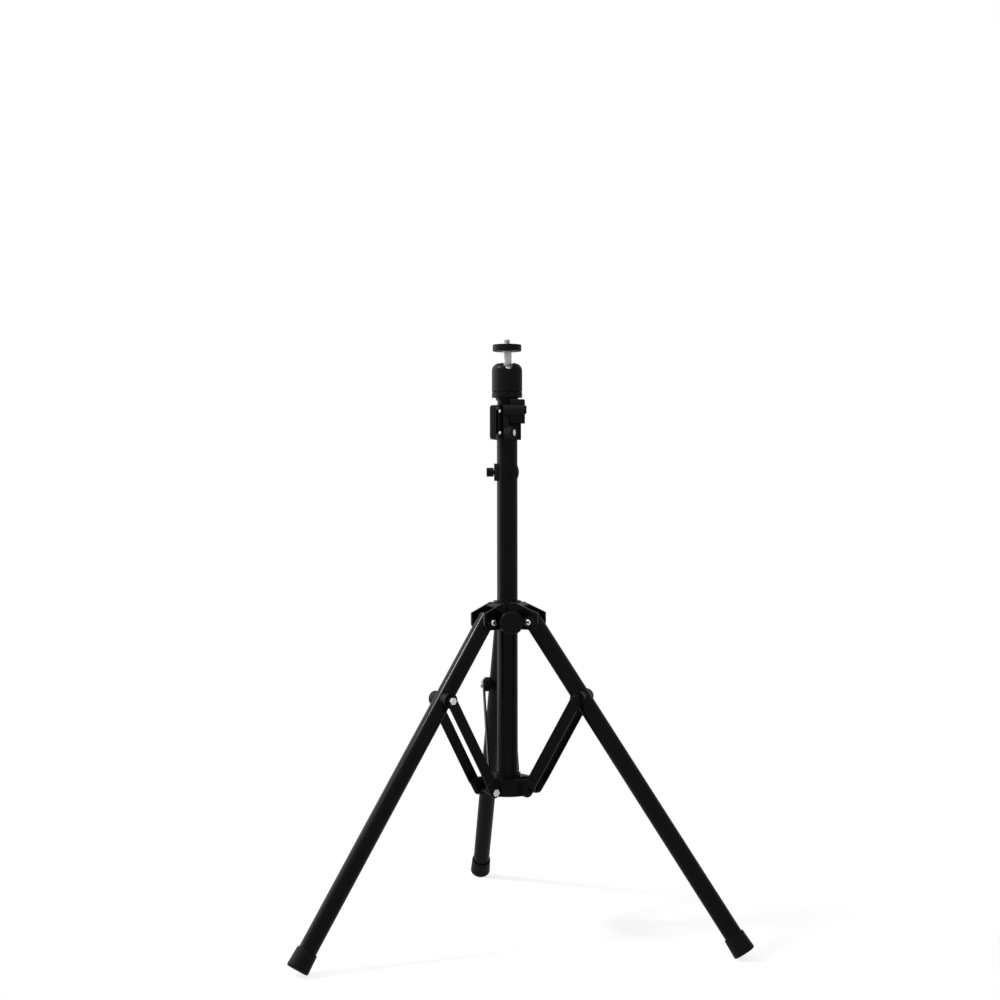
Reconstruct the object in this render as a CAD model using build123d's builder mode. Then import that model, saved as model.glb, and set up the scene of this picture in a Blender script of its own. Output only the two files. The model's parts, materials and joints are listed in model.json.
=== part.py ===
from build123d import *
from math import atan2, cos, degrees, radians, sin, sqrt
import os

# Driving dimensions in millimetres and degrees

# Tubes
COLUMN_D = 22.0
LEG_D = 19.0
MAST_D = 19.0
TUBE_WALL = 1.0

# Stance of the open tripod
LEG_ANGLE = 34.9
LEG_SPREAD_ANGLE = 120.0
REAR_ANGLE = 90.0
LEG_REACH = 399.0
LEG_HEAD = 6.0
HUB_PIVOT_R = 30.0
BRACE_DROP = 94.8
BRACE_LENGTH = 115.4
COLLAR_PIVOT_R = 28.0

# Heights above the floor
SCREW_Z = 491.5
CLAMP_Z = 526.0
HEAD_Z = 571.0

# Clearances
FIT = 0.1
RUN = 0.2
GAP = 0.4
SLIDE = 0.5

# Fasteners
BOLT_D = 4.0
HEX_AF = 7.0
HEX_H = 2.4
NUT_D = 9.0
NUT_H = 3.4
NUT_EDGE = 2.0
BUTTON_D = 6.2
BUTTON_H = 3.4
BUTTON_EDGE = 1.2
SOCKET_D = 2.6
SOCKET_DEPTH = 1.4
KNOB_SCREW_D = 6.0

# Rubber feet
FOOT_TOP_D = 21.8
FOOT_END_D = 23.6
FOOT_LENGTH = 20.5
FOOT_EDGE = 2.0
FOOT_SOLE = 3.5

# Hub that slides on the column
HUB_WALL = 2.2
HUB_RISE = 20.0
HUB_SKIRT = 8.0
HUB_END_R = 39.5
HUB_END_TOP = 9.5
HUB_ROOF_R = 21.0
HUB_CORNER = 7.0
HUB_EDGE = 2.0
HUB_BOSS_D = 11.0
HUB_BOSS = 1.3
BUSH_WALL = 1.2
BUSH_LIP = 1.5

# Knob that locks the hub
KNOB_D = 24.6
KNOB_FACE_R = 36.0
KNOB_THICK = 10.0
KNOB_EDGE = 1.6
KNOB_NECK_D = 13.0
KNOB_NECK = 3.5
KNOB_DISH = 1.0

# Braces
BAR_WIDTH = 11.8
BAR_THICK = 1.6
BAR_OUTER = 16.6
BAR_BEND_FROM = 9.5
BAR_BEND_TO = 13.0
SPACER_D = 16.0

# Collar at the foot of the column
COLLAR_OUTER = 13.2
COLLAR_WALL = 2.6
COLLAR_BODY_D = 50.0
COLLAR_DROP = 5.4
COLLAR_FLOOR = 2.0
COLLAR_FLOOR_R = 22.0
COLLAR_RISE = 11.6
COLLAR_END_R = 36.5
EAR_PEAK_R = 28.0
EAR_PEAK = 13.5
EAR_END_TOP = 8.5
EAR_END_LOW = 1.0
EAR_BEND_R = 28.0
EAR_CHAMFER = 1.6
NECK_D = 27.8
NECK_RISE = 16.7
PLUG_LIP = 2.0
PLUG_DEPTH = 12.0

# Flip clamp at the top of the column
CLAMP_H = 37.0
CLAMP_WALL = 2.6
CLAMP_LIP = 3.0
CLAMP_TURN = -7.2
CLAMP_FRONT = 17.0
CLAMP_EDGE = 1.2
BLOCK_OUT = 18.8
BLOCK_BACK = 7.0
BLOCK_H = 25.0
BLOCK_UP = 17.5
LUG_OUT = 4.0
SLIT = 1.2
SLIT_OUT = 3.0
SLIT_H = 22.0
TENSION_UP = 31.2
TENSION_FRONT = 17.4
TENSION_HEAD = 1.6
BARREL_D = 10.4
PAD_OUT = 14.8
PAD_DEPTH = 12.0
HINGE_ANGLE = 244.0
HINGE_PIN_D = 3.0
KNUCKLE_D = 4.8
KNUCKLE_H = 20.0
LEVER_INNER_R = 14.2
LEVER_OUT = 18.5
LEVER_LIP = 11.9
LEVER_FRONT = 13.0
LEVER_BACK = 12.0
LEVER_ARM_H = 5.2
LEVER_EYE_WALL = 0.9
LEVER_EDGE = 2.8
SCREW_BOSS_ANGLE = 335.0
SCREW_BOSS_D = 13.4
SCREW_BOSS_OUT = 6.4
SCREW_BOSS_FRONT = 16.0
SCREW_BOSS_LENGTH = 8.0
SCREW_HEAD_D = 8.0
SCREW_HEAD_H = 1.4

# Thumb screw and its saddle on the column
SADDLE_H = 18.5
SADDLE_OUT = 14.0
SADDLE_WIDTH = 14.0
THUMB_D = 9.6
THUMB_OUT = 22.0
THUMB_SCREW_D = 5.0
RIVET_D = 14.0
RIVET_RISE = 1.7

# Mast and ball head
MAST_LENGTH = 350.0
COLLET_D = 20.6
COLLET_FLANGE_D = 24.0
COLLET_FLANGE = 3.0
COLLET_SPIGOT = 22.0
HEAD_D = 32.4
BASE_H = 5.8
BASE_GROOVE = 0.6
HOUSING_H = 30.5
HOUSING_CROWN = 8.0
PIVOT_D = 18.0
PIVOT_H = 4.0
BALL_D = 20.0
BALL_DROP = 10.3
MOUTH_D = 14.6
STEM_D = 9.6
STEM_RISE = 12.8
NOTCH_GAP = 0.4
NOTCH_DEPTH = 7.0
PLATFORM_D = 30.7
PLATFORM_H = 5.6
PLATFORM_EDGE = 0.4
PAD_H = 1.3
PAD_INSET = 0.2
CAMERA_SCREW_D = 6.35
CAMERA_SCREW_H = 5.5
CAMERA_SCREW_TIP = 0.6

# Places worked out from the driving dimensions
SIDES = {
    "rear": REAR_ANGLE,
    "left": REAR_ANGLE + LEG_SPREAD_ANGLE,
    "right": REAR_ANGLE + 2 * LEG_SPREAD_ANGLE,
}
LEAN = radians(LEG_ANGLE)
COLUMN_R = COLUMN_D / 2
LEG_R = LEG_D / 2
MAST_R = MAST_D / 2
BOLT_R = BOLT_D / 2
FOOT_END_R = FOOT_END_D / 2
FOOT_RING_R = FOOT_END_R - FOOT_EDGE
FOOT_RING_AT = LEG_REACH - FOOT_EDGE
HUB_Z = FOOT_RING_AT * cos(LEAN) + FOOT_RING_R * sin(LEAN) + FOOT_EDGE
FOOT_RADIUS = HUB_PIVOT_R + FOOT_RING_AT * sin(LEAN)
FOOTPRINT_BACK = FOOT_RADIUS + FOOT_RING_R * cos(LEAN) + FOOT_EDGE
FOOTPRINT_FRONT = FOOT_RADIUS / 2 + FOOT_RING_R * sqrt(1 - (sin(LEAN) / 2) ** 2) + FOOT_EDGE
COLUMN_Y = (FOOTPRINT_FRONT - FOOTPRINT_BACK) / 2
BRACE_TOP_R = HUB_PIVOT_R + BRACE_DROP * sin(LEAN)
BRACE_TOP_Z = HUB_Z - BRACE_DROP * cos(LEAN)
BRACE_RUN = BRACE_TOP_R - COLLAR_PIVOT_R
BRACE_FALL = sqrt(BRACE_LENGTH**2 - BRACE_RUN**2)
COLLAR_Z = BRACE_TOP_Z - BRACE_FALL
COLLAR_BOTTOM = COLLAR_Z - COLLAR_DROP
HEX_R = HEX_AF / 2 / cos(radians(30))
BAR_INNER = BAR_OUTER - BAR_THICK
HUB_INNER = LEG_R + SLIDE
HUB_OUTER = HUB_INNER + HUB_WALL
HUB_FACE = HUB_OUTER + HUB_BOSS
BUSH_R = COLUMN_R + RUN + BUSH_WALL
HUB_SLEEVE_R = BUSH_R + FIT + HUB_WALL
COLLAR_INNER = COLLAR_OUTER - COLLAR_WALL
BAR_FOOT_INNER = COLLAR_OUTER + GAP
BAR_FOOT_OUTER = BAR_FOOT_INNER + BAR_THICK
COLLAR_BOLT_FACE = BAR_FOOT_OUTER + RUN
CLAMP_TOP = CLAMP_Z + CLAMP_H
CLAMP_R = COLUMN_R + FIT + CLAMP_WALL
COLUMN_TOP = CLAMP_TOP - CLAMP_LIP
COLLET_ROOM = COLLET_FLANGE_D / 2 + 2 * GAP
LEVER_EYE_R = HINGE_PIN_D / 2 + RUN + LEVER_EYE_WALL
HINGE_R = CLAMP_R + GAP + LEVER_EYE_R
HINGE_X = HINGE_R * cos(radians(HINGE_ANGLE))
HINGE_Y = HINGE_R * sin(radians(HINGE_ANGLE))
HOUSING_Z = HEAD_Z + BASE_H + RUN
HOUSING_TOP = HOUSING_Z + HOUSING_H
BALL_Z = HOUSING_TOP - BALL_DROP
NOTCH_R = STEM_D / 2 + NOTCH_GAP
PLATFORM_Z = HOUSING_TOP + STEM_RISE
PAD_Z = PLATFORM_Z + PLATFORM_H
TOP_Z = PAD_Z + PAD_H
SCREW_ROOT_R = CAMERA_SCREW_D / 2 - GAP
MAST_TOP = CLAMP_TOP + SLIDE
KNOB_BACK_R = KNOB_FACE_R - KNOB_THICK
HUB_NECK_OUT = KNOB_BACK_R - KNOB_NECK - GAP
HUB_SLOPE = (HUB_RISE - HUB_END_TOP) / (HUB_END_R - HUB_SLEEVE_R)
HUB_ROOF = HUB_RISE - HUB_WALL - HUB_SLOPE * (HUB_ROOF_R - HUB_SLEEVE_R)
RIVET_DOME = ((RIVET_D / 2) ** 2 + RIVET_RISE**2) / 2 / RIVET_RISE
BRACE_TILT = degrees(atan2(BRACE_FALL, BRACE_RUN))

os.makedirs("parts", exist_ok=True)


def level(z, turn=0.0):
    """Horizontal plane around the column at a height, turned about it."""
    toward = (cos(radians(turn)), sin(radians(turn)), 0)
    return Plane(origin=(0, COLUMN_Y, z), x_dir=toward, z_dir=(0, 0, 1))


def upright(angle):
    """Upright plane through the column: x runs outward at the angle and y is the height."""
    a = radians(angle)
    return Plane(origin=(0, COLUMN_Y, 0), x_dir=(cos(a), sin(a), 0), z_dir=(sin(a), -cos(a), 0))


def facing(angle, z):
    """Plane on the column's axis that looks outward at the angle."""
    a = radians(angle)
    return Plane(origin=(0, COLUMN_Y, z), x_dir=(-sin(a), cos(a), 0), z_dir=(cos(a), sin(a), 0))


def leg_plane(angle, along):
    """Plane square to an open leg, a distance down it from the hub's pivot."""
    a = radians(angle)
    out = HUB_PIVOT_R + along * sin(LEAN)
    origin = (out * cos(a), COLUMN_Y + out * sin(a), HUB_Z - along * cos(LEAN))
    down = (sin(LEAN) * cos(a), sin(LEAN) * sin(a), -cos(LEAN))
    return Plane(origin=origin, x_dir=(-sin(a), cos(a), 0), z_dir=down)


def bar_plane(angle):
    """Plane along an open brace: x runs up it from the collar's pivot and y is across the pair of bars."""
    a = radians(angle)
    out = (cos(a) * BRACE_RUN / BRACE_LENGTH, sin(a) * BRACE_RUN / BRACE_LENGTH, BRACE_FALL / BRACE_LENGTH)
    across = Vector(-sin(a), cos(a), 0)
    origin = (COLLAR_PIVOT_R * cos(a), COLUMN_Y + COLLAR_PIVOT_R * sin(a), COLLAR_Z)
    return Plane(origin=origin, x_dir=out, z_dir=Vector(*out).cross(across))


def layers(profile, inner, outer):
    """Two like plates of the pending profile, one on each side of its plane."""
    extrude(amount=outer, both=True)
    extrude(profile.sketch, amount=inner, both=True, mode=Mode.SUBTRACT)


def pivot_ends(builder, angle, place, face):
    """Hexagon head and domed nut on the two faces at a pivot, a distance from its middle plane."""
    with BuildSketch(upright(angle).offset(-face)) as hexagon:
        with Locations(place):
            RegularPolygon(HEX_R, 6)
    extrude(hexagon.sketch, amount=-HEX_H)
    with BuildSketch(upright(angle).offset(face)) as disc:
        with Locations(place):
            Circle(NUT_D / 2)
    extrude(disc.sketch, amount=NUT_H)
    fillet(builder.faces().sort_by(Axis((0, 0, 0), upright(angle).z_dir))[-1].edges(), NUT_EDGE)


def write(builder, name):
    builder.part.label = name
    export_step(builder.part, f"parts/{name}.step")


# Column tube
with BuildPart() as column_tube:
    with BuildSketch(level(COLLAR_BOTTOM)):
        Circle(COLUMN_R)
        Circle(COLUMN_R - TUBE_WALL, mode=Mode.SUBTRACT)
    extrude(amount=COLUMN_TOP - COLLAR_BOTTOM)
    with BuildSketch(facing(180 + CLAMP_TURN, SCREW_Z)):
        Circle(THUMB_SCREW_D / 2 + RUN)
    extrude(amount=COLUMN_D, mode=Mode.SUBTRACT)
write(column_tube, "column_tube")

# Plug that closes the column's lower end
with BuildPart() as column_plug:
    with BuildSketch(level(COLLAR_BOTTOM - PLUG_LIP)):
        Circle(COLUMN_R)
    extrude(amount=PLUG_LIP)
    with BuildSketch(level(COLLAR_BOTTOM)):
        Circle(COLUMN_R - TUBE_WALL - FIT)
    extrude(amount=PLUG_DEPTH)
    fillet(column_plug.edges().group_by(Axis.Z)[0], PLUG_LIP / 2)
write(column_plug, "column_plug")

# Collar: three pairs of ears around the column's lower end
with BuildPart() as collar:
    for angle in SIDES.values():
        with BuildSketch(upright(angle)):
            with BuildLine():
                Polyline(
                    (0, COLLAR_Z - COLLAR_DROP),
                    (EAR_BEND_R, COLLAR_Z - COLLAR_DROP),
                    (COLLAR_END_R, COLLAR_Z + EAR_END_LOW),
                    (COLLAR_END_R, COLLAR_Z + EAR_END_TOP),
                    (EAR_PEAK_R, COLLAR_Z + EAR_PEAK),
                    (COLLAR_FLOOR_R - COLLAR_FLOOR, COLLAR_Z + COLLAR_RISE),
                    (0, COLLAR_Z + COLLAR_RISE),
                    close=True,
                )
            make_face()
        extrude(amount=COLLAR_OUTER, both=True)
    with BuildSketch(level(COLLAR_BOTTOM)):
        Circle(COLLAR_BODY_D / 2)
    extrude(amount=COLLAR_DROP + COLLAR_RISE)
    for angle in SIDES.values():
        with BuildSketch(upright(angle)):
            with BuildLine():
                Polyline(
                    (NECK_D / 2, COLLAR_Z - COLLAR_DROP + COLLAR_FLOOR),
                    (COLLAR_FLOOR_R, COLLAR_Z - COLLAR_DROP + COLLAR_FLOOR),
                    (COLLAR_FLOOR_R, COLLAR_Z - NECK_RISE),
                    (2 * COLLAR_END_R, COLLAR_Z - NECK_RISE),
                    (2 * COLLAR_END_R, COLLAR_Z + 2 * NECK_RISE),
                    (NECK_D / 2, COLLAR_Z + 2 * NECK_RISE),
                    close=True,
                )
            make_face()
        extrude(amount=COLLAR_INNER, both=True, mode=Mode.SUBTRACT)
    with BuildSketch(level(COLLAR_BOTTOM)):
        Circle(NECK_D / 2)
    extrude(amount=COLLAR_DROP + NECK_RISE)
    with BuildSketch(level(COLLAR_BOTTOM)):
        Circle(COLUMN_R + FIT)
    extrude(amount=COLLAR_DROP + NECK_RISE, mode=Mode.SUBTRACT)
    for angle in SIDES.values():
        with BuildSketch(upright(angle)):
            with Locations((COLLAR_PIVOT_R, COLLAR_Z)):
                Circle(BOLT_R + FIT)
        extrude(amount=2 * COLLAR_OUTER, both=True, mode=Mode.SUBTRACT)
    for angle in SIDES.values():
        across = Axis((0, COLUMN_Y, 0), upright(angle).z_dir)
        for side_faces in (collar.faces().sort_by(across)[0], collar.faces().sort_by(across)[-1]):
            chamfer(side_faces.edges().sort_by(Axis.Z)[-2:], EAR_CHAMFER)
write(collar, "collar")

# Faces of the clamp's tension bolt and of its round screw
tension_face = Plane(
    origin=level(CLAMP_Z, CLAMP_TURN).from_local_coords((BLOCK_OUT, -TENSION_FRONT, TENSION_UP)),
    z_dir=level(CLAMP_Z, CLAMP_TURN).x_dir,
)
boss_face = Plane(
    origin=level(CLAMP_Z, CLAMP_TURN).from_local_coords(
        (SCREW_BOSS_OUT, -SCREW_BOSS_FRONT, SCREW_BOSS_D / 2 + GAP)
    ),
    z_dir=level(CLAMP_Z, CLAMP_TURN + SCREW_BOSS_ANGLE).x_dir,
)

# Flip clamp around the column's top end
with BuildPart() as clamp_body:
    with BuildSketch(level(CLAMP_Z, CLAMP_TURN)):
        Circle(CLAMP_R)
        with Locations((PAD_OUT / 2, 0)):
            Rectangle(PAD_OUT, PAD_DEPTH)
        with Locations(((SLIT_OUT - LUG_OUT) / 2, -CLAMP_FRONT / 2)):
            Rectangle(SLIT_OUT + LUG_OUT, CLAMP_FRONT)
    extrude(amount=CLAMP_H)
    with BuildSketch(level(CLAMP_Z + BLOCK_UP, CLAMP_TURN)):
        with Locations(((SLIT_OUT + BLOCK_OUT) / 2, (BLOCK_BACK - CLAMP_FRONT) / 2)):
            Rectangle(BLOCK_OUT - SLIT_OUT, BLOCK_BACK + CLAMP_FRONT)
        Circle(COLLET_ROOM, mode=Mode.SUBTRACT)
    extrude(amount=BLOCK_H)
    chamfer(clamp_body.edges().group_by(Axis.Z)[-1].filter_by(GeomType.LINE), CLAMP_EDGE)
    with BuildSketch(boss_face):
        Circle(SCREW_BOSS_D / 2)
    extrude(amount=-SCREW_BOSS_LENGTH)
    with BuildSketch(level(CLAMP_Z + (CLAMP_H - KNUCKLE_H) / 2, CLAMP_TURN + HINGE_ANGLE)):
        with Locations((HINGE_R, 0)):
            Circle(KNUCKLE_D / 2)
        with Locations((HINGE_R / 2, 0)):
            Rectangle(HINGE_R, KNUCKLE_D)
    extrude(amount=KNUCKLE_H)
    with BuildSketch(level(CLAMP_Z)):
        Circle(COLUMN_R + FIT)
    extrude(amount=CLAMP_H - CLAMP_LIP, mode=Mode.SUBTRACT)
    with BuildSketch(level(CLAMP_Z)):
        Circle(MAST_R + SLIDE)
    extrude(amount=2 * CLAMP_H, mode=Mode.SUBTRACT)
    with BuildSketch(level(CLAMP_TOP, CLAMP_TURN)):
        with Locations((SLIT_OUT - SLIT / 2, -CLAMP_FRONT)):
            Rectangle(SLIT, 2 * (CLAMP_FRONT - MAST_R / 2))
    extrude(amount=-SLIT_H, mode=Mode.SUBTRACT)
    with BuildSketch(level(CLAMP_Z, CLAMP_TURN + HINGE_ANGLE)):
        with Locations((HINGE_R, 0)):
            Circle(HINGE_PIN_D / 2 + FIT)
    extrude(amount=CLAMP_H, mode=Mode.SUBTRACT)
    with BuildSketch(tension_face):
        Circle(BARREL_D / 2 + FIT)
    extrude(amount=-BLOCK_OUT - LUG_OUT, mode=Mode.SUBTRACT)
write(clamp_body, "clamp_body")

# Steel pin that the clamp's lever swings on
with BuildPart() as clamp_pin:
    with BuildSketch(level(CLAMP_Z + GAP, CLAMP_TURN + HINGE_ANGLE)):
        with Locations((HINGE_R, 0)):
            Circle(HINGE_PIN_D / 2)
    extrude(amount=CLAMP_H - 2 * GAP)
write(clamp_pin, "clamp_pin")

# Tension bolt with its sleeve, which draws the clamp's lug and block together
with BuildPart() as clamp_bolt:
    with BuildSketch(tension_face):
        Circle(BARREL_D / 2)
    extrude(amount=-BLOCK_OUT - LUG_OUT)
    with BuildSketch(tension_face):
        Circle(NUT_D / 2)
    extrude(amount=TENSION_HEAD)
    fillet(clamp_bolt.faces().sort_by(Axis((0, 0, 0), tension_face.z_dir))[-1].edges(), TENSION_HEAD / 2)
write(clamp_bolt, "clamp_bolt")

# Round screw on the clamp's lower boss
with BuildPart() as clamp_screw:
    with BuildSketch(boss_face):
        Circle(SCREW_HEAD_D / 2)
    extrude(amount=SCREW_HEAD_H)
    fillet(clamp_screw.faces().sort_by(Axis((0, 0, 0), boss_face.z_dir))[-1].edges(), SCREW_HEAD_H / 2)
write(clamp_screw, "clamp_screw")

# Lever of the flip clamp: a boxed plate round its left side, with arms to the hinge pin
with BuildPart() as clamp_lever:
    with BuildSketch(level(CLAMP_Z + GAP, CLAMP_TURN)) as plan:
        with Locations((-(LEVER_OUT + LEVER_LIP) / 2, (LEVER_BACK - LEVER_FRONT) / 2)):
            Rectangle(LEVER_OUT - LEVER_LIP, LEVER_BACK + LEVER_FRONT)
        corners = plan.vertices().group_by(Axis.X)[0]
        fillet(corners, LEVER_EDGE)
        Circle(LEVER_INNER_R, mode=Mode.SUBTRACT)
    extrude(amount=CLAMP_H - 2 * GAP)
    side_face = clamp_lever.faces().sort_by(Axis(level(0).origin, level(0, CLAMP_TURN).x_dir))[0]
    fillet(side_face.edges().filter_by(lambda e: abs(e.tangent_at(0).Z) < 0.5), LEVER_EDGE)
    for arm in (CLAMP_Z + GAP, CLAMP_TOP - GAP - LEVER_ARM_H):
        with BuildSketch(level(arm, CLAMP_TURN)):
            with BuildLine():
                Polyline(
                    (-LEVER_LIP, -LEVER_FRONT),
                    (HINGE_X, HINGE_Y - LEVER_EYE_R),
                    (HINGE_X, HINGE_Y + LEVER_EYE_R),
                    (-LEVER_LIP, -LEVER_FRONT + 2 * LEVER_EYE_R),
                    close=True,
                )
            make_face()
            with Locations((HINGE_X, HINGE_Y)):
                Circle(LEVER_EYE_R)
            Circle(LEVER_INNER_R, mode=Mode.SUBTRACT)
        extrude(amount=LEVER_ARM_H)
    with BuildSketch(level(CLAMP_Z, CLAMP_TURN)):
        with Locations((HINGE_X, HINGE_Y)):
            Circle(HINGE_PIN_D / 2 + RUN)
    extrude(amount=CLAMP_H, mode=Mode.SUBTRACT)
write(clamp_lever, "clamp_lever")

# Saddle on the column that carries the thumb screw
with BuildPart() as thumb_saddle:
    with BuildSketch(facing(180 + CLAMP_TURN, SCREW_Z)):
        RectangleRounded(SADDLE_WIDTH, SADDLE_H, SADDLE_WIDTH / 4)
    extrude(amount=SADDLE_OUT)
    with BuildSketch(level(SCREW_Z - SADDLE_H)):
        Circle(COLUMN_R + FIT)
    extrude(amount=2 * SADDLE_H, mode=Mode.SUBTRACT)
    with BuildSketch(facing(180 + CLAMP_TURN, SCREW_Z)):
        Circle(THUMB_SCREW_D / 2 + RUN)
    extrude(amount=2 * SADDLE_OUT, mode=Mode.SUBTRACT)
write(thumb_saddle, "thumb_saddle")

# Domed rivet on the column, opposite the saddle
with BuildPart() as saddle_rivet:
    rivet_face = facing(CLAMP_TURN, SCREW_Z)
    with BuildSketch(rivet_face):
        Circle(RIVET_D / 2)
    extrude(amount=COLUMN_D)
    with Locations(rivet_face.offset(COLUMN_R + RIVET_RISE - RIVET_DOME)):
        Sphere(RIVET_DOME, mode=Mode.INTERSECT)
    with BuildSketch(level(SCREW_Z - RIVET_D)):
        Circle(COLUMN_R + FIT)
    extrude(amount=2 * RIVET_D, mode=Mode.SUBTRACT)
write(saddle_rivet, "saddle_rivet")

# Thumb screw that bears on the mast through the saddle
with BuildPart() as thumb_screw:
    screw_face = facing(180 + CLAMP_TURN, SCREW_Z)
    with BuildSketch(screw_face.offset(SADDLE_OUT + GAP)):
        Circle(THUMB_D / 2)
    extrude(amount=THUMB_OUT - SADDLE_OUT - GAP)
    with BuildSketch(screw_face.offset(MAST_R + RUN)):
        Circle(THUMB_SCREW_D / 2)
    extrude(amount=SADDLE_OUT + GAP - MAST_R - RUN)
write(thumb_screw, "thumb_screw")

# Hub: a sleeve with three channels that hold the legs
with BuildPart() as hub:
    for angle in SIDES.values():
        with BuildSketch(upright(angle)) as wall:
            with BuildLine():
                Polyline(
                    (0, HUB_Z - HUB_SKIRT),
                    (HUB_END_R, HUB_Z - HUB_SKIRT),
                    (HUB_END_R, HUB_Z + HUB_END_TOP),
                    (HUB_SLEEVE_R, HUB_Z + HUB_RISE),
                    (0, HUB_Z + HUB_RISE),
                    close=True,
                )
            make_face()
            ends = wall.vertices().group_by(Axis.X)[-1].sort_by(Axis.Y)
            fillet(ends[0], HUB_CORNER)
            fillet(ends[1], HUB_EDGE)
        extrude(amount=HUB_OUTER, both=True)
        with BuildSketch(upright(angle)):
            with Locations((HUB_PIVOT_R, HUB_Z)):
                Circle(HUB_BOSS_D / 2)
        extrude(amount=HUB_FACE, both=True)
    with BuildSketch(level(HUB_Z - HUB_SKIRT)):
        Circle(HUB_SLEEVE_R)
    extrude(amount=HUB_SKIRT + HUB_RISE)
    with BuildSketch(facing(270, HUB_Z)):
        Circle(KNOB_NECK_D / 2)
    extrude(amount=HUB_NECK_OUT)
    for angle in SIDES.values():
        with BuildSketch(upright(angle)):
            with BuildLine():
                Polyline(
                    (HUB_SLEEVE_R, HUB_Z - 2 * HUB_SKIRT),
                    (2 * HUB_END_R, HUB_Z - 2 * HUB_SKIRT),
                    (2 * HUB_END_R, HUB_Z + 2 * HUB_RISE),
                    (HUB_ROOF_R, HUB_Z + 2 * HUB_RISE),
                    (HUB_ROOF_R, HUB_Z + HUB_ROOF),
                    (HUB_SLEEVE_R, HUB_Z + HUB_RISE - HUB_WALL),
                    close=True,
                )
            make_face()
        extrude(amount=HUB_INNER, both=True, mode=Mode.SUBTRACT)
    with BuildSketch(level(HUB_Z - HUB_SKIRT)):
        Circle(BUSH_R + FIT)
    extrude(amount=HUB_SKIRT + HUB_RISE, mode=Mode.SUBTRACT)
    for angle in SIDES.values():
        with BuildSketch(upright(angle)):
            with Locations((HUB_PIVOT_R, HUB_Z)):
                Circle(BOLT_R + FIT)
        extrude(amount=2 * HUB_OUTER, both=True, mode=Mode.SUBTRACT)
    with BuildSketch(facing(270, HUB_Z)):
        Circle(KNOB_SCREW_D / 2 + RUN)
    extrude(amount=KNOB_FACE_R, mode=Mode.SUBTRACT)
write(hub, "hub")

# Plastic bush between the hub and the column
with BuildPart() as hub_bush:
    with BuildSketch(level(HUB_Z - HUB_SKIRT)):
        Circle(BUSH_R)
    extrude(amount=HUB_SKIRT + HUB_RISE)
    with BuildSketch(level(HUB_Z + HUB_RISE)):
        Circle(HUB_SLEEVE_R)
    extrude(amount=BUSH_LIP)
    with BuildSketch(level(HUB_Z - HUB_SKIRT)):
        Circle(COLUMN_R + RUN)
    extrude(amount=2 * (HUB_SKIRT + HUB_RISE), mode=Mode.SUBTRACT)
    with BuildSketch(facing(270, HUB_Z)):
        Circle(KNOB_SCREW_D / 2 + RUN)
    extrude(amount=KNOB_FACE_R, mode=Mode.SUBTRACT)
write(hub_bush, "hub_bush")

# Knob whose screw locks the hub to the column
with BuildPart() as hub_knob:
    with BuildSketch(facing(270, HUB_Z).offset(COLUMN_R + RUN)):
        Circle(KNOB_SCREW_D / 2)
    extrude(amount=KNOB_BACK_R - COLUMN_R)
    with BuildSketch(facing(270, HUB_Z).offset(KNOB_BACK_R - KNOB_NECK)):
        Circle(KNOB_NECK_D / 2)
    extrude(amount=KNOB_NECK)
    with BuildSketch(facing(270, HUB_Z).offset(KNOB_BACK_R)):
        Circle(KNOB_D / 2)
    extrude(amount=KNOB_THICK)
    with BuildSketch(facing(270, HUB_Z).offset(KNOB_FACE_R)):
        Circle(KNOB_D / 2 - 1.5 * KNOB_EDGE)
    extrude(amount=-KNOB_DISH, mode=Mode.SUBTRACT)
    rim = hub_knob.edges().filter_by(GeomType.CIRCLE).filter_by(lambda e: e.radius == KNOB_D / 2)
    fillet(rim, KNOB_EDGE)
write(hub_knob, "hub_knob")

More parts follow.
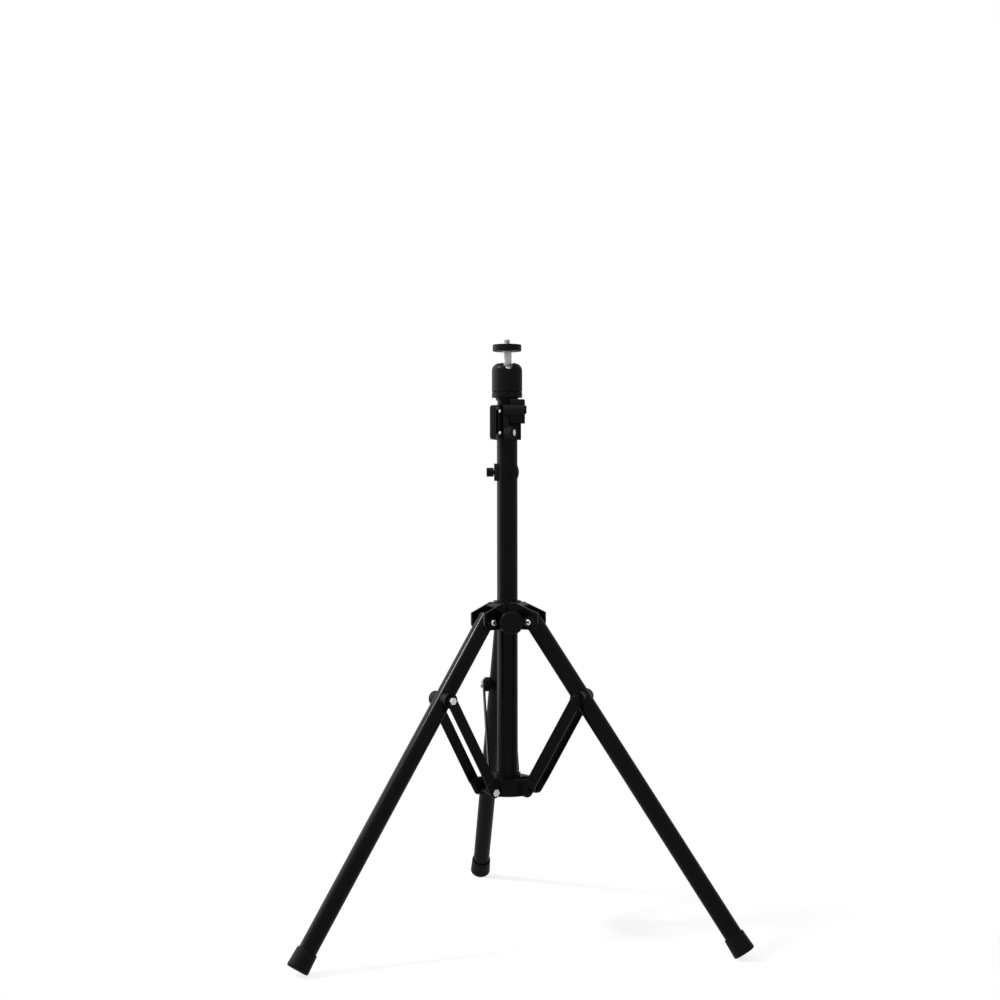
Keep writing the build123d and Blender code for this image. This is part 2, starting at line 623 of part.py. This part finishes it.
for side, angle in SIDES.items():
    # Bolt through the hub and the top of the leg, with a socket in its rounded heads
    with BuildPart() as leg_pivot:
        across = Axis((0, 0, 0), upright(angle).z_dir)
        with BuildSketch(upright(angle)) as head:
            with Locations((HUB_PIVOT_R, HUB_Z)):
                Circle(BUTTON_D / 2)
        layers(head, HUB_FACE, HUB_FACE + BUTTON_H)
        for outer in (leg_pivot.faces().sort_by(across)[0], leg_pivot.faces().sort_by(across)[-1]):
            fillet(outer.edges(), BUTTON_EDGE)
        with BuildSketch(upright(angle)):
            with Locations((HUB_PIVOT_R, HUB_Z)):
                Circle(BOLT_R)
        extrude(amount=HUB_FACE, both=True)
        for end in (HUB_FACE + BUTTON_H, -HUB_FACE - BUTTON_H):
            with BuildSketch(upright(angle).offset(end)):
                with Locations((HUB_PIVOT_R, HUB_Z)):
                    Circle(SOCKET_D / 2)
        extrude(amount=SOCKET_DEPTH, both=True, mode=Mode.SUBTRACT)
    write(leg_pivot, f"leg_pivot_{side}")

    # Leg tube, from above its pivot to the sole of its foot
    with BuildPart() as leg_tube:
        with BuildSketch(leg_plane(angle, -LEG_HEAD)):
            Circle(LEG_R)
            Circle(LEG_R - TUBE_WALL, mode=Mode.SUBTRACT)
        extrude(amount=LEG_HEAD + LEG_REACH - FOOT_SOLE)
        with BuildSketch(upright(angle)):
            with Locations((HUB_PIVOT_R, HUB_Z)):
                Circle(BOLT_R + RUN)
        extrude(amount=LEG_D, both=True, mode=Mode.SUBTRACT)
    write(leg_tube, f"leg_tube_{side}")

    # Rubber foot, flared toward the floor
    with BuildPart() as foot:
        with BuildSketch(leg_plane(angle, LEG_REACH - FOOT_LENGTH)):
            Circle(FOOT_TOP_D / 2)
        with BuildSketch(leg_plane(angle, LEG_REACH)):
            Circle(FOOT_END_R)
        loft()
        fillet(foot.faces().sort_by(Axis.Z)[0].edges(), FOOT_EDGE)
        with BuildSketch(leg_plane(angle, LEG_REACH - FOOT_LENGTH)):
            Circle(LEG_R + FIT)
        extrude(amount=FOOT_LENGTH - FOOT_SOLE, mode=Mode.SUBTRACT)
    write(foot, f"foot_{side}")

    # Spacers that stand the braces off the leg
    with BuildPart() as leg_spacers:
        with BuildSketch(upright(angle)):
            with Locations((BRACE_TOP_R, BRACE_TOP_Z)):
                Circle(SPACER_D / 2)
        extrude(amount=BAR_INNER - GAP, both=True)
        with BuildSketch(leg_plane(angle, BRACE_DROP - SPACER_D)):
            Circle(LEG_R + FIT)
        extrude(amount=2 * SPACER_D, mode=Mode.SUBTRACT)
    write(leg_spacers, f"leg_spacers_{side}")

    # Pair of flat bars from the collar to the leg, bent in a little beside the collar's ears
    with BuildPart() as brace_bars:
        with BuildSketch(bar_plane(angle)):
            with BuildLine():
                Polyline(
                    (-BAR_WIDTH, BAR_FOOT_INNER),
                    (BAR_BEND_FROM, BAR_FOOT_INNER),
                    (BAR_BEND_TO, BAR_INNER),
                    (BRACE_LENGTH + BAR_WIDTH, BAR_INNER),
                    (BRACE_LENGTH + BAR_WIDTH, BAR_OUTER),
                    (BAR_BEND_TO, BAR_OUTER),
                    (BAR_BEND_FROM, BAR_FOOT_OUTER),
                    (-BAR_WIDTH, BAR_FOOT_OUTER),
                    close=True,
                )
            make_face()
            mirror(about=Plane.XZ)
        extrude(amount=BAR_WIDTH, both=True)
        with BuildSketch(upright(angle)):
            with Locations((COLLAR_PIVOT_R + BRACE_RUN / 2, COLLAR_Z + BRACE_FALL / 2)):
                SlotCenterToCenter(BRACE_LENGTH, BAR_WIDTH, rotation=BRACE_TILT)
            with Locations((COLLAR_PIVOT_R, COLLAR_Z), (BRACE_TOP_R, BRACE_TOP_Z)):
                Circle(BOLT_R + RUN, mode=Mode.SUBTRACT)
        extrude(amount=2 * BAR_OUTER, both=True, mode=Mode.INTERSECT)
    write(brace_bars, f"brace_bars_{side}")

    # Bolt ends at the upper pivot of the bars
    with BuildPart() as brace_bolts:
        pivot_ends(brace_bolts, angle, (BRACE_TOP_R, BRACE_TOP_Z), BAR_OUTER)
        with BuildSketch(upright(angle)) as shank:
            with Locations((BRACE_TOP_R, BRACE_TOP_Z)):
                Circle(BOLT_R)
        extrude(amount=BAR_OUTER, both=True)
        extrude(shank.sketch, amount=BAR_INNER, both=True, mode=Mode.SUBTRACT)
    write(brace_bolts, f"brace_bolts_{side}")

    # Bolt through the lower ends of the bars and the collar's ears
    with BuildPart() as collar_bolt:
        pivot_ends(collar_bolt, angle, (COLLAR_PIVOT_R, COLLAR_Z), COLLAR_BOLT_FACE)
        with BuildSketch(upright(angle)):
            with Locations((COLLAR_PIVOT_R, COLLAR_Z)):
                Circle(BOLT_R)
        extrude(amount=COLLAR_BOLT_FACE, both=True)
    write(collar_bolt, f"collar_bolt_{side}")

# Mast tube that slides in the column
with BuildPart() as mast_tube:
    with BuildSketch(level(MAST_TOP - MAST_LENGTH)):
        Circle(MAST_R)
        Circle(MAST_R - TUBE_WALL, mode=Mode.SUBTRACT)
    extrude(amount=MAST_LENGTH)
write(mast_tube, "mast_tube")

# Collet that plugs the mast and carries the head
with BuildPart() as mast_collet:
    with BuildSketch(level(MAST_TOP - COLLET_SPIGOT)):
        Circle(MAST_R - TUBE_WALL - FIT)
    extrude(amount=COLLET_SPIGOT)
    with BuildSketch(level(MAST_TOP)):
        Circle(COLLET_D / 2)
    extrude(amount=HEAD_Z - COLLET_FLANGE - MAST_TOP)
    with BuildSketch(level(HEAD_Z - COLLET_FLANGE)):
        Circle(COLLET_FLANGE_D / 2)
    extrude(amount=COLLET_FLANGE)
write(mast_collet, "mast_collet")

# Fixed base of the ball head, with the pivot it turns on
with BuildPart() as head_base:
    with BuildSketch(level(HEAD_Z)):
        Circle(HEAD_D / 2)
    extrude(amount=BASE_H)
    chamfer(head_base.edges().group_by(Axis.Z)[-1], BASE_GROOVE)
    with BuildSketch(level(HEAD_Z + BASE_H)):
        Circle(PIVOT_D / 2)
    extrude(amount=PIVOT_H)
write(head_base, "head_base")

# Housing of the ball head, with a notch that the stem tilts into
with BuildPart() as head_housing:
    with BuildSketch(level(HOUSING_Z)):
        Circle(HEAD_D / 2)
    extrude(amount=HOUSING_H)
    fillet(head_housing.edges().group_by(Axis.Z)[-1], HOUSING_CROWN)
    chamfer(head_housing.edges().group_by(Axis.Z)[0], BASE_GROOVE)
    with Locations(level(BALL_Z)):
        Sphere(BALL_D / 2 + RUN, mode=Mode.SUBTRACT)
    with BuildSketch(level(BALL_Z)):
        Circle(MOUTH_D / 2)
    extrude(amount=BALL_D, mode=Mode.SUBTRACT)
    with BuildSketch(level(HOUSING_Z)):
        Circle(PIVOT_D / 2 + RUN)
    extrude(amount=PIVOT_H, mode=Mode.SUBTRACT)
    with BuildSketch(facing(270, HOUSING_TOP)):
        with Locations((0, NOTCH_R - NOTCH_DEPTH)):
            Circle(NOTCH_R)
        with Locations((0, NOTCH_R)):
            Rectangle(2 * NOTCH_R, 2 * NOTCH_DEPTH)
    extrude(amount=HEAD_D, mode=Mode.SUBTRACT)
write(head_housing, "head_housing")

# Ball and stem in one piece
with BuildPart() as ball_stem:
    with Locations(level(BALL_Z)):
        Sphere(BALL_D / 2)
    with BuildSketch(level(BALL_Z)):
        Circle(STEM_D / 2)
    extrude(amount=PLATFORM_Z - BALL_Z)
write(ball_stem, "ball_stem")

# Round platform on the stem
with BuildPart() as platform:
    with BuildSketch(level(PLATFORM_Z)):
        Circle(PLATFORM_D / 2)
    extrude(amount=PLATFORM_H)
    chamfer(platform.edges(), PLATFORM_EDGE)
    with BuildSketch(level(PAD_Z)):
        Circle(SCREW_ROOT_R + FIT)
    extrude(amount=-PLATFORM_H / 2, mode=Mode.SUBTRACT)
write(platform, "platform")

# Rubber pad on the platform
with BuildPart() as platform_pad:
    with BuildSketch(level(PAD_Z)):
        Circle(PLATFORM_D / 2 - PAD_INSET)
        Circle(SCREW_ROOT_R + SLIDE, mode=Mode.SUBTRACT)
    extrude(amount=PAD_H)
write(platform_pad, "platform_pad")

# Camera screw, with a plain root below the pad's face
with BuildPart() as camera_screw:
    with BuildSketch(level(PAD_Z - PLATFORM_H / 2)):
        Circle(SCREW_ROOT_R)
    extrude(amount=PLATFORM_H / 2 + PAD_H)
    with BuildSketch(level(TOP_Z)):
        Circle(CAMERA_SCREW_D / 2)
    extrude(amount=CAMERA_SCREW_H)
    chamfer(camera_screw.edges().group_by(Axis.Z)[-1], CAMERA_SCREW_TIP)
write(camera_screw, "camera_screw")
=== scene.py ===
import json
import math

import bmesh
import bpy
from mathutils import Matrix, Vector


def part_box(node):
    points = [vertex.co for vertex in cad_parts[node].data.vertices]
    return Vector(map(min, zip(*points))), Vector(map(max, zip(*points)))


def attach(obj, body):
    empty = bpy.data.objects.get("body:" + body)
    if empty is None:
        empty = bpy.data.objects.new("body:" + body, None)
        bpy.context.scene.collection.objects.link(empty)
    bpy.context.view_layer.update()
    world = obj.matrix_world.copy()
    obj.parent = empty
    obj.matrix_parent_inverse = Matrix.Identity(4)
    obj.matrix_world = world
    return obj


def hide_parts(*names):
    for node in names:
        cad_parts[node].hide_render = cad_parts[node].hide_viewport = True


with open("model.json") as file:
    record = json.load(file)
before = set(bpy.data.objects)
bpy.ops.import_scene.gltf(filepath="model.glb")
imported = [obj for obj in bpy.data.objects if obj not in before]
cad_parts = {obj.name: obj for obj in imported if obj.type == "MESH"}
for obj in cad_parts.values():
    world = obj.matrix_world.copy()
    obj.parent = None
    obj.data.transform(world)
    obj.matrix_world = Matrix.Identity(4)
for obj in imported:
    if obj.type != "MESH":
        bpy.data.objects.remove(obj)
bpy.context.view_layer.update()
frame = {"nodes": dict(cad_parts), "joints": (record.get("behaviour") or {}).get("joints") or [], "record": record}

nodes = frame["nodes"]
joints = {joint["name"]: joint for joint in frame["joints"]}
slots = {row["node"]: row["material_slot"] for row in frame["record"]["subparts"]}

MM = 0.001
UP = Vector((0, 0, 1))
AXIS = Vector(joints["head_pan"]["pos_m"])
SIDE_ANGLES = {"rear": 90.0, "left": 210.0, "right": 330.0}


# Shader nodes

def set_inputs(node, values):
    """Sets the values of inputs by name or number."""
    for key, value in values.items():
        node.inputs[key].default_value = value


def add(tree, kind, values=None, **settings):
    """A shader node with its settings and the values of its inputs."""
    node = tree.nodes.new("ShaderNode" + kind)
    for name, value in settings.items():
        setattr(node, name, value)
    set_inputs(node, values or {})
    return node


def ramp(tree, source, from_low, from_high, to_low=0.0, to_high=1.0, **settings):
    """A number mapped from one range to another."""
    values = {"From Min": from_low, "From Max": from_high, "To Min": to_low, "To Max": to_high}
    node = add(tree, "MapRange", values, **settings)
    tree.links.new(source, node.inputs["Value"])
    return node.outputs["Result"]


def combine(tree, operation, first, second):
    """Two numbers combined by a math operation."""
    node = add(tree, "Math", operation=operation)
    tree.links.new(first, node.inputs[0])
    tree.links.new(second, node.inputs[1])
    return node.outputs["Value"]


def lay_over(tree, amount, under, color):
    """A plain colour laid over another by an amount."""
    node = add(tree, "Mix", data_type="RGBA")
    set_inputs(node, {"B": (*color, 1)})
    tree.links.new(amount, node.inputs["Factor"])
    tree.links.new(under, node.inputs["A"])
    return node.outputs["Result"]


def mix_shaders(tree, amount, first, second, output):
    """Two shaders mixed by an amount on an output."""
    mix = add(tree, "MixShader")
    tree.links.new(amount, mix.inputs["Fac"])
    tree.links.new(first, mix.inputs[1])
    tree.links.new(second, mix.inputs[2])
    tree.links.new(mix.outputs["Shader"], output.inputs["Surface"])


def looked_at(tree):
    """1 for camera, glossy and transmission rays, which see plain white, and 0 for the rest."""
    ray = add(tree, "LightPath")
    seen = combine(tree, "MAXIMUM", ray.outputs["Is Camera Ray"], ray.outputs["Is Glossy Ray"])
    return combine(tree, "MAXIMUM", seen, ray.outputs["Is Transmission Ray"])


# Materials

CLOUD_SCALE = 38.0
CLOUD_DETAIL = 5.0
CLOUD_ROUGHNESS = 0.6
CLOUD_LOW = 0.3
CLOUD_HIGH = 0.7
GRAIN_DETAIL = 3.0
GRAIN_DEPTH = 0.2 * MM
LEAST_ROUGHNESS = 0.03
COAT_ROUGHNESS = 0.16
BEVEL_SAMPLES = 4

# Edge lightening, as wear and on the hub as painted highlight, starts and is full at these cosines between the
# flat and the rounded normal
EDGE_LIGHT_START = 0.995
EDGE_LIGHT_FULL = 0.9

# Edge lightening needs this much open space round a point, and painted shade darkens crevices that have this
# little
OPEN_LOW = 0.60
OPEN_HIGH = 0.90
CREVICE_START = 0.85
CREVICE_FULL = 0.40
CAVITY_SAMPLES = 8
PAINTED_SHADE = (0.0004, 0.0004, 0.0004)
PAINTED_SHADE_SHARE = 0.95


def edge_wear_and_highlight(tree, rounded, cloud, edge):
    """How far the edges are lightened, unevenly: wear, and painted highlight where the edge colour is bright."""
    flat = add(tree, "NewGeometry")
    dot = add(tree, "VectorMath", operation="DOT_PRODUCT")
    tree.links.new(rounded, dot.inputs[0])
    tree.links.new(flat.outputs["Normal"], dot.inputs[1])
    worn_or_lit = ramp(tree, dot.outputs["Value"], EDGE_LIGHT_START, EDGE_LIGHT_FULL, 0.0, edge)
    return combine(tree, "MULTIPLY", worn_or_lit, cloud)


def from_axis(tree, place, centre, axis):
    """The distance from a line through a point."""
    arm = add(tree, "VectorMath", {1: centre}, operation="SUBTRACT")
    tree.links.new(place, arm.inputs[0])
    wing = add(tree, "VectorMath", {1: axis}, operation="CROSS_PRODUCT")
    tree.links.new(arm.outputs["Vector"], wing.inputs[0])
    away = add(tree, "VectorMath", operation="LENGTH")
    tree.links.new(wing.outputs["Vector"], away.inputs[0])
    return away.outputs["Value"]


def surface(name, color, rough, metallic=0.0, specular=0.5, grain=900.0, bump=0.05, spread=0.08,
            mottle=0.12, edge=0.0, edge_color=(0.1, 0.1, 0.1), bevel=0.35 * MM, coat=0.0,
            tint=(1.0, 1.0, 1.0), cavity=0.0, around=None):
    """A procedural finish: uneven roughness and tone, fine grain, rounded edges lightened, as wear where the edge
    colour is faint and as painted highlight where it is bright.

    cavity is the reach of painted shade that darkens crevices. around is a ring of painted shade: centre, axis,
    and the radii where it is clear and dark.
    """
    mat = bpy.data.materials.new(name)
    mat.use_nodes = True
    tree = mat.node_tree
    shader = tree.nodes["Principled BSDF"]
    shader.inputs["Metallic"].default_value = metallic
    shader.inputs["Specular IOR Level"].default_value = specular
    shader.inputs["Specular Tint"].default_value = (*tint, 1)
    shader.inputs["Coat Weight"].default_value = coat
    shader.inputs["Coat Roughness"].default_value = COAT_ROUGHNESS

    place = add(tree, "TexCoord").outputs["Object"]
    noise = {"Scale": CLOUD_SCALE, "Detail": CLOUD_DETAIL, "Roughness": CLOUD_ROUGHNESS}
    patches = add(tree, "TexNoise", noise)
    tree.links.new(place, patches.inputs["Vector"])
    cloud = patches.outputs["Fac"]
    fine = add(tree, "TexNoise", {"Scale": grain, "Detail": GRAIN_DETAIL})
    tree.links.new(place, fine.inputs["Vector"])

    smoothest = max(rough - spread, LEAST_ROUGHNESS)
    gloss = ramp(tree, cloud, CLOUD_LOW, CLOUD_HIGH, smoothest, rough + spread)
    tree.links.new(gloss, shader.inputs["Roughness"])

    tone = add(tree, "Mix", data_type="RGBA")
    tone.inputs["A"].default_value = [part * (1 - mottle) for part in color] + [1]
    tone.inputs["B"].default_value = [part * (1 + mottle) for part in color] + [1]
    tree.links.new(cloud, tone.inputs["Factor"])
    result = tone.outputs["Result"]

    round_edge = add(tree, "Bevel", {"Radius": bevel}, samples=BEVEL_SAMPLES)
    rounded = round_edge.outputs["Normal"]
    if cavity > 0:
        shade = add(tree, "AmbientOcclusion", {"Distance": cavity}, samples=CAVITY_SAMPLES, only_local=True)
        room = shade.outputs["AO"]
    # Lightened edges: wear, and on the hub a painted highlight
    if edge > 0:
        rubbed_or_lit = edge_wear_and_highlight(tree, rounded, cloud, edge)
        if cavity > 0:
            rubbed_or_lit = combine(tree, "MULTIPLY", rubbed_or_lit, ramp(tree, room, OPEN_LOW, OPEN_HIGH))
        result = lay_over(tree, rubbed_or_lit, result, edge_color)
    # Painted shade: crevices darkened by occlusion, where shade falls
    if cavity > 0:
        crevice_shade = ramp(tree, room, CREVICE_START, CREVICE_FULL, 0.0, PAINTED_SHADE_SHARE)
        result = lay_over(tree, crevice_shade, result, PAINTED_SHADE)
    # Painted shade: a dark ring round an axis
    if around:
        centre, axis, clear, dark = around
        shade_ring = ramp(tree, from_axis(tree, place, centre, axis), clear, dark, 0.0, PAINTED_SHADE_SHARE)
        result = lay_over(tree, shade_ring, result, PAINTED_SHADE)
    tree.links.new(result, shader.inputs["Base Color"])

    relief = add(tree, "Bump", {"Strength": bump, "Distance": GRAIN_DEPTH})
    tree.links.new(fine.outputs["Fac"], relief.inputs["Height"])
    tree.links.new(rounded, relief.inputs["Normal"])
    tree.links.new(relief.outputs["Normal"], shader.inputs["Normal"])
    return mat


def grey(level):
    """A colour of three equal parts."""
    return (level, level, level)


# What several finishes share
PAINT = dict(color=grey(0.0010), rough=0.40, specular=0.020, grain=1500, bump=0.03, spread=0.05, coat=0.09)
MOULDED = dict(grain=2600, bump=0.08, edge=0.45, edge_color=grey(0.05), bevel=0.5 * MM)
GLOSSY = dict(rough=0.34, specular=0.020, grain=2200, bump=0.06, coat=0.08)
ZINC = dict(color=(0.52, 0.53, 0.53), rough=0.34, metallic=1.0, grain=900, bump=0.05, mottle=0.08,
            tint=grey(0.6))

# Finishes of the record's material slots
finish = {
    "black_paint": surface("black_paint", **PAINT, edge=0.6, edge_color=grey(0.06)),
    "black_plastic": surface("black_plastic", grey(0.0034), 0.40, specular=0.036, **MOULDED),
    "knob_plastic": surface("knob_plastic", grey(0.0020), **GLOSSY, edge=0.5, edge_color=grey(0.06),
                            bevel=0.5 * MM),
    "black_alloy": surface("black_alloy", (0.0010, 0.0011, 0.0013), 0.58, specular=0.045, grain=2600,
                           bump=0.04, spread=0.05, edge=0.3, edge_color=(0.05, 0.05, 0.055), coat=0.06,
                           tint=(0.90, 0.95, 1.0)),
    "bright_steel": surface("bright_steel", (0.36, 0.35, 0.345), 0.46, metallic=1.0, grain=700, bump=0.02,
                            spread=0.05, mottle=0.03, tint=grey(0.45)),
    # painted shade in the zinc parts' crevices
    "zinc_steel": surface("zinc_steel", **ZINC, cavity=2.5 * MM),
    "black_rubber": surface("black_rubber", grey(0.0034), 0.48, specular=0.044, grain=1800, bump=0.14,
                            spread=0.1, bevel=0.6 * MM),
}

# Finishes of single nodes, with painted shade round the hinge pin's knuckle, a rim of painted shade on the clamp's
# round screw, and painted highlights on the hub's edges
KNUCKLE_SHADE_CLEAR_R = 3.4 * MM
KNUCKLE_SHADE_DARK_R = 2.9 * MM
SCREW_CLEAR_R = 3.1 * MM
SCREW_DARK_R = 3.6 * MM
SCREW_AXIS = (0.846, -0.533, 0)
# Reach of painted shade in the clamp's and hub's crevices
CLAMP_CAVITY = 9 * MM
HUB_CAVITY = 6 * MM

# Painted shade: the knuckle round the hinge pin darkened as though shaded by the lever
knuckle_shade = (Vector(joints["clamp_lever_swing"]["pos_m"]), UP, KNUCKLE_SHADE_CLEAR_R, KNUCKLE_SHADE_DARK_R)
screw_low, screw_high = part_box("clamp_screw")
# Painted shade: a dark rim round the screw's head that narrows its bright reflection
screw_rim_shade = ((screw_low + screw_high) / 2, SCREW_AXIS, SCREW_CLEAR_R, SCREW_DARK_R)

screw_steel = surface("screw_steel", **ZINC, around=screw_rim_shade)
clamp_plastic = surface("clamp_plastic", (0.0078, 0.0078, 0.0077), 0.62, specular=0.030, **MOULDED,
                        cavity=CLAMP_CAVITY, around=knuckle_shade)
lever_plastic = surface("lever_plastic", grey(0.0100), **GLOSSY, edge=0.6, edge_color=grey(0.12),
                        bevel=0.8 * MM, cavity=CLAMP_CAVITY, around=knuckle_shade)
# Painted highlight: the hub's edges lightened strongly, as though lit from above
hub_paint = surface("hub_paint", **PAINT, edge=1.0, edge_color=grey(0.36), cavity=HUB_CAVITY)
own = {
    "clamp_body": clamp_plastic,
    "clamp_bolt": clamp_plastic,
    "thumb_saddle": clamp_plastic,
    "clamp_lever": lever_plastic,
    "clamp_screw": screw_steel,
    "hub": hub_paint,
}


def dress(obj, mat):
    """Gives an object one finish."""
    obj.data.materials.clear()
    obj.data.materials.append(mat)


for name, node in nodes.items():
    dress(node, own.get(name, finish[slots[name]]))


# Pieces that the solids leave to the looks

def ring_mesh(name, rows):
    """A closed mesh through rings of points."""
    mesh = bpy.data.meshes.new(name)
    build = bmesh.new()
    rings = [[build.verts.new(spot) for spot in row] for row in rows]
    for low, high in zip(rings, rings[1:]):
        for i in range(len(low)):
            build.faces.new((low[i - 1], low[i], high[i], high[i - 1]))
    build.faces.new(rings[0])
    build.faces.new(rings[-1])
    bmesh.ops.recalc_face_normals(build, faces=build.faces)
    build.to_mesh(mesh)
    build.free()
    return mesh


def piece(name, mesh, slot, body, smooth):
    """A new object of one finish that moves with a body, sharp at edges over an angle."""
    for polygon in mesh.polygons:
        polygon.use_smooth = True
    mesh.set_sharp_from_angle(angle=math.radians(smooth))
    obj = bpy.data.objects.new(name, mesh)
    bpy.context.scene.collection.objects.link(obj)
    dress(obj, finish[slot])
    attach(obj, body)
    return obj


# Hexagon heads with chamfered tops, as skins over the plain ones
HEX_R = 3.5 * MM
HEX_H = 2.4 * MM
HEX_EDGE = 0.4 * MM
HEX_SHARP = 20.0
NUT_H = 3.4 * MM
SKIN = 0.05 * MM


def hexagon(origin, out, along):
    """A hexagon head that stands on a point of a face, along its direction."""
    corner = (HEX_R + SKIN) / math.cos(math.radians(30))
    top = HEX_H + SKIN
    rows = []
    for radius, height in ((corner, 0), (corner, top), (corner - HEX_EDGE, top + HEX_EDGE)):
        row = []
        for i in range(6):
            around = math.radians(60 * i)
            row.append(origin + height * along + radius * (math.cos(around) * out + math.sin(around) * UP))
        rows.append(row)
    return ring_mesh("hexagon", rows)


bar_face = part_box("brace_bars_rear")[1].x
ear_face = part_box("collar_bolt_rear")[1].x - NUT_H
for side, angle in SIDE_ANGLES.items():
    a = math.radians(angle)
    out = Vector((math.cos(a), math.sin(a), 0))
    tangent = Vector((-math.sin(a), math.cos(a), 0))
    low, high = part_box(f"leg_spacers_{side}")
    upper = (low + high) / 2
    lower = Vector(joints[f"brace_{side}_fold"]["pos_m"])
    upper_head = hexagon(upper + bar_face * tangent, out, tangent)
    piece(f"brace_hexagon_{side}", upper_head, "zinc_steel", f"brace_{side}", HEX_SHARP)
    lower_head = hexagon(lower + ear_face * tangent, out, tangent)
    piece(f"collar_hexagon_{side}", lower_head, "zinc_steel", "column", HEX_SHARP)

# Camera screw with its thread
THREAD_R = 3.175 * MM
THREAD_ROOT = 2.62 * MM
THREAD_PITCH = 1.27 * MM
THREAD_TIP = 0.6 * MM
THREAD_STEPS = 40
THREAD_ROWS = 12
THREAD_SHARP = 25.0
CREST_GAIN = 1.25
CREST_SHIFT = 0.1


def thread_radius(z, turn, length):
    """A V between root and crest that rises with the turn, cut back at the tip."""
    phase = (z / THREAD_PITCH - turn) % 1.0
    crest = 1 - abs(2 * phase - 1)
    crest = min(max(crest * CREST_GAIN - CREST_SHIFT, 0), 1)
    radius = THREAD_ROOT + (THREAD_R - THREAD_ROOT) * crest
    return min(radius, THREAD_R - THREAD_TIP + (length - z))


def thread(name, bottom, top):
    """A threaded screw on the head's axis between two heights."""
    length = top - bottom
    count = math.ceil(length / THREAD_PITCH * THREAD_ROWS)
    rows = []
    for k in range(count + 1):
        z = length * k / count
        row = []
        for i in range(THREAD_STEPS):
            turn = i / THREAD_STEPS
            radius = thread_radius(z, turn, length)
            around = 2 * math.pi * turn
            row.append((AXIS.x + radius * math.cos(around), AXIS.y + radius * math.sin(around), bottom + z))
        rows.append(row)
    return ring_mesh(name, rows)


screw_low, screw_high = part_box("camera_screw")
screw_mesh = thread("camera_screw_thread", screw_low.z, screw_high.z)
screw = piece("camera_screw_thread", screw_mesh, "bright_steel", "platform", THREAD_SHARP)
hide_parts("camera_screw")


# Floor

FLOOR_R = 12.0
FLOOR_DROP = 0.0002
FLOOR_STEP = 5
FLOOR_COLOR = (0.85, 0.85, 0.85, 1)

# The share of plain white near the object, where shadows show, and its reach
WHITE_NEAR = 0.75
SHADOW_NEAR = 0.12
SHADOW_FAR = 0.55


def floor_material():
    """White floor that shows soft shadows near the object and plain white further out."""
    mat = bpy.data.materials.new("floor")
    mat.use_nodes = True
    tree = mat.node_tree
    tree.nodes.remove(tree.nodes["Principled BSDF"])
    diffuse = add(tree, "BsdfDiffuse", {"Color": FLOOR_COLOR})
    white = add(tree, "Emission")
    where = add(tree, "TexCoord")
    reach = add(tree, "VectorMath", operation="LENGTH")
    tree.links.new(where.outputs["Object"], reach.inputs[0])
    fade = ramp(tree, reach.outputs["Value"], SHADOW_NEAR, SHADOW_FAR, WHITE_NEAR, 1.0,
                interpolation_type="SMOOTHSTEP")
    share = combine(tree, "MULTIPLY", looked_at(tree), fade)
    output = tree.nodes["Material Output"]
    mix_shaders(tree, share, diffuse.outputs["BSDF"], white.outputs["Emission"], output)
    return mat


rim = [math.radians(a) for a in range(0, 360, FLOOR_STEP)]
corners = [(FLOOR_R * math.cos(a), FLOOR_R * math.sin(a), -FLOOR_DROP) for a in rim]
floor_mesh = bpy.data.meshes.new("floor")
floor_mesh.from_pydata(corners, [], [tuple(range(len(corners)))])
floor_mesh.materials.append(floor_material())
floor = bpy.data.objects.new("floor", floor_mesh)
bpy.context.scene.collection.objects.link(floor)


# Light

def lamp(name, location, target, width, height, power):
    """A rectangular softbox that faces a point."""
    data = bpy.data.lights.new(name, "AREA")
    data.shape = "RECTANGLE"
    data.size = width
    data.size_y = height
    data.energy = power
    obj = bpy.data.objects.new(name, data)
    aim = Vector(target) - Vector(location)
    obj.matrix_world = Matrix.Translation(location) @ aim.to_track_quat("-Z", "Y").to_matrix().to_4x4()
    bpy.context.scene.collection.objects.link(obj)


lamp("softbox_left", (-1.5, 0.75, 1.0), (0, AXIS.y, 0.7), 2.0, 2.0, 42.0)
lamp("softbox_top", (-0.25, -0.5, 2.1), (0, AXIS.y, 0.3), 1.3, 1.0, 16.0)
lamp("softbox_high", (-1.51, AXIS.y - 0.145, 1.88), (0, AXIS.y, 0.4), 0.30, 0.30, 50.0)

# World that fills the shadows softly and is seen as plain white
WHITE = (1, 1, 1, 1)
FILL = 0.35
world = bpy.data.worlds.new("studio")
bpy.context.scene.world = world
world.use_nodes = True
sky = world.node_tree
soft = sky.nodes["Background"]
set_inputs(soft, {"Color": WHITE, "Strength": FILL})
shown = add(sky, "Background", {"Color": WHITE, "Strength": 1.0})
output = sky.nodes["World Output"]
mix_shaders(sky, looked_at(sky), soft.outputs["Background"], shown.outputs["Background"], output)


# Camera fitted to the photograph

CAMERA_AT = Vector((-0.2250, AXIS.y - 1.7103, 0.4717))
CAMERA_LOOK = Vector((0.1260, 0.9920, -0.0057)).normalized()
CAMERA_ROLL = -0.08
CAMERA_SENSOR = 36.0
CAMERA_LENS = 58.23
camera_data = bpy.data.cameras.new("camera")
camera_data.sensor_width = CAMERA_SENSOR
camera_data.lens = CAMERA_LENS
camera = bpy.data.objects.new("camera", camera_data)
camera_right = CAMERA_LOOK.cross(UP).normalized()
camera_up = camera_right.cross(CAMERA_LOOK)
facing = Matrix((camera_right, camera_up, -CAMERA_LOOK)).transposed().to_4x4()
roll = Matrix.Rotation(math.radians(CAMERA_ROLL), 4, "Z")
camera.matrix_world = Matrix.Translation(CAMERA_AT) @ facing @ roll
bpy.context.scene.collection.objects.link(camera)
bpy.context.scene.camera = camera
bpy.context.scene.view_settings.view_transform = "Standard"
